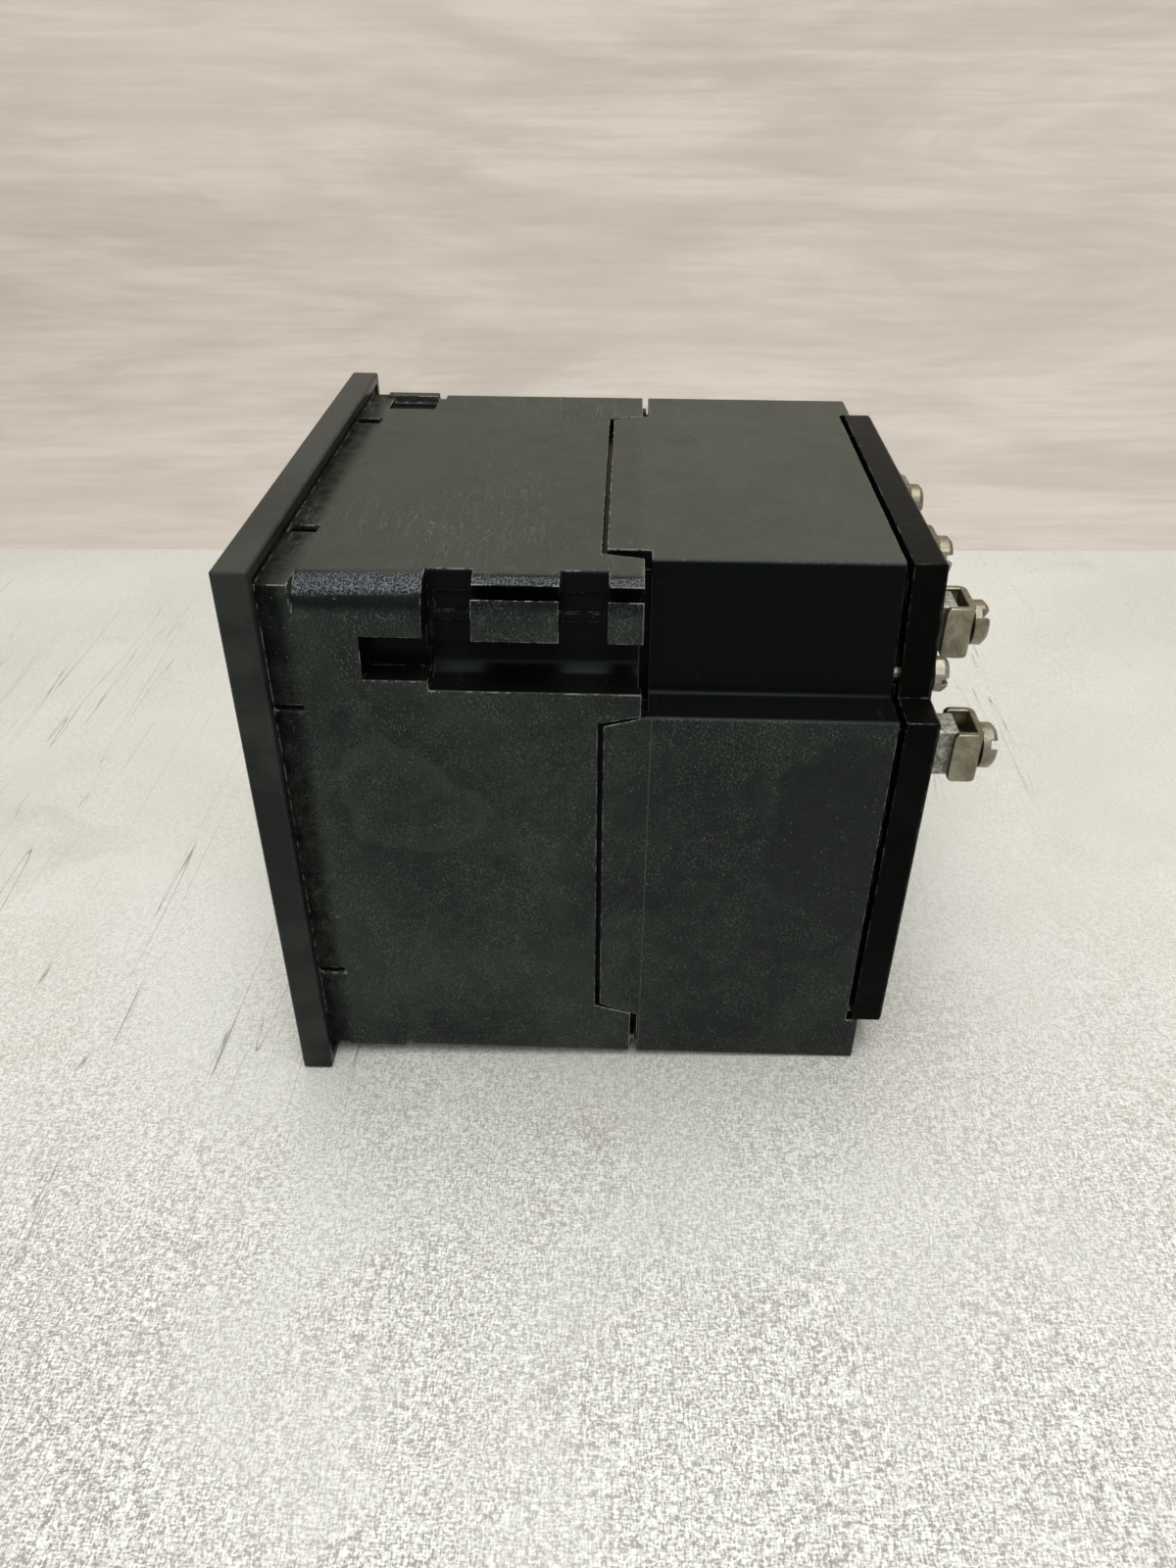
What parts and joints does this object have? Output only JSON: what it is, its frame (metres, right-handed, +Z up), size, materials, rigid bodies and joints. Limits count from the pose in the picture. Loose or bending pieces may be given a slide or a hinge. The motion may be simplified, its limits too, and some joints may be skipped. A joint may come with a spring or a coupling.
{
  "type": "panel synchroscope",
  "caption": "Square panel synchroscope in a two-part black moulded case, with clamp channels on two opposite corners and saddle-clamp terminals on its rear plate.",
  "frame": {"origin": "middle of the footprint, at the height of the bezel's lower edge", "axes": "+Y from the bezel to the terminals, +Z up the dial, +X across it"},
  "size_m": [0.096, 0.1122, 0.096],
  "materials": {
    "black_moulding": "fine moulded grain with light scuffs",
    "black_satin": "satin black moulding",
    "clear_glass": "clear window glass",
    "soft_rubber": "dull black rubber",
    "nickel": "warm bright nickel plate",
    "cast_nickel": "dull pale nickel",
    "steel": "ground steel",
    "zinc_steel": "zinc-plated steel",
    "brass": "machined brass",
    "sheet_iron": "dark laminated iron",
    "dial_white": "matt white enamel",
    "pointer_red": "matt red paint",
    "copper_wire": "enamelled copper wire",
    "bobbin_brown": "brown moulding",
    "board_tan": "laminate board",
    "ceramic": "unglazed ceramic"
  },
  "bodies": {
    "case": {"bezel": "black_satin", "rear_plate": "black_satin", "window_glass": "clear_glass", "window_seal": "soft_rubber", "front_case": "black_moulding", "rear_case": "black_moulding", "plate_screw_1": "zinc_steel", "plate_screw_2": "zinc_steel", "plate_screw_3": "zinc_steel", "plate_screw_4": "zinc_steel", "case_screw_1": "zinc_steel", "case_screw_2": "zinc_steel", "movement_screw_1": "zinc_steel", "movement_screw_2": "zinc_steel", "bridge_screw_1": "zinc_steel", "bridge_screw_2": "zinc_steel", "board_screw_1": "zinc_steel", "board_screw_2": "zinc_steel", "dial_plate": "dial_white", "dial_screw_1": "brass", "dial_screw_2": "brass", "front_bush": "brass", "rear_jewel_screw": "brass", "jewel_lock_nut": "brass", "movement_plate": "brass", "rear_bridge": "brass", "stator_core": "sheet_iron", "stator_coil_1": "copper_wire", "stator_coil_2": "copper_wire", "stator_coil_3": "copper_wire", "stator_coil_4": "copper_wire", "stator_coil_5": "copper_wire", "stator_coil_6": "copper_wire", "polarising_winding_front": "copper_wire", "polarising_winding_rear": "copper_wire", "coil_bobbin": "bobbin_brown", "component_board": "board_tan", "resistor_1": "ceramic", "resistor_2": "ceramic", "resistor_3": "ceramic", "resistor_4": "ceramic", "contact_block_1": "cast_nickel", "contact_block_2": "cast_nickel", "contact_block_3": "cast_nickel", "contact_block_4": "cast_nickel", "contact_block_5": "cast_nickel"},
    "rotor": {"pointer": "pointer_red", "pointer_hub": "brass", "spindle": "steel", "rotor_iron": "sheet_iron"},
    "clamp_1": {"saddle_1": "nickel"},
    "screw_1": {"terminal_screw_1": "nickel"},
    "clamp_2": {"saddle_2": "nickel"},
    "screw_2": {"terminal_screw_2": "nickel"},
    "clamp_3": {"saddle_3": "nickel"},
    "screw_3": {"terminal_screw_3": "nickel"},
    "clamp_4": {"saddle_4": "nickel"},
    "screw_4": {"terminal_screw_4": "nickel"},
    "clamp_5": {"saddle_5": "nickel"},
    "screw_5": {"terminal_screw_5": "nickel"}
  },
  "joints": [
    {"name": "pointer_spin", "type": "hinge", "parent": "case", "child": "rotor", "pos_m": [0, -0.02608, 0.048], "axis": [0, 1, 0], "continuous": true},
    {"name": "clamp_1_lift", "type": "slide", "parent": "case", "child": "clamp_1", "axis": [0, 1, 0], "range_m": [-0.0011, 0.0026]},
    {"name": "screw_1_turn", "type": "hinge", "parent": "clamp_1", "child": "screw_1", "pos_m": [0.025, 0.05192, 0.0795], "axis": [0, 1, 0], "range_deg": [-566, 1338]},
    {"name": "clamp_2_lift", "type": "slide", "parent": "case", "child": "clamp_2", "axis": [0, 1, 0], "range_m": [-0.0011, 0.0026]},
    {"name": "screw_2_turn", "type": "hinge", "parent": "clamp_2", "child": "screw_2", "pos_m": [0, 0.05192, 0.0795], "axis": [0, 1, 0], "range_deg": [-566, 1338]},
    {"name": "clamp_3_lift", "type": "slide", "parent": "case", "child": "clamp_3", "axis": [0, 1, 0], "range_m": [-0.0011, 0.0026]},
    {"name": "screw_3_turn", "type": "hinge", "parent": "clamp_3", "child": "screw_3", "pos_m": [-0.025, 0.05192, 0.0795], "axis": [0, 1, 0], "range_deg": [-566, 1338]},
    {"name": "clamp_4_lift", "type": "slide", "parent": "case", "child": "clamp_4", "axis": [0, 1, 0], "range_m": [-0.00215, 0.00155]},
    {"name": "screw_4_turn", "type": "hinge", "parent": "clamp_4", "child": "screw_4", "pos_m": [0.0374, 0.05298, 0.065], "axis": [0, 1, 0], "range_deg": [-1106, 798]},
    {"name": "clamp_5_lift", "type": "slide", "parent": "case", "child": "clamp_5", "axis": [0, 1, 0], "range_m": [-0.0011, 0.0026]},
    {"name": "screw_5_turn", "type": "hinge", "parent": "clamp_5", "child": "screw_5", "pos_m": [-0.0374, 0.05192, 0.065], "axis": [0, 1, 0], "range_deg": [-566, 1338]}
  ],
  "couplings": [
    {"joint": "screw_1_turn", "follows": "clamp_1_lift", "rad_per_m": 8976},
    {"joint": "screw_2_turn", "follows": "clamp_2_lift", "rad_per_m": 8976},
    {"joint": "screw_3_turn", "follows": "clamp_3_lift", "rad_per_m": 8976},
    {"joint": "screw_4_turn", "follows": "clamp_4_lift", "rad_per_m": 8976},
    {"joint": "screw_5_turn", "follows": "clamp_5_lift", "rad_per_m": 8976}
  ]
}
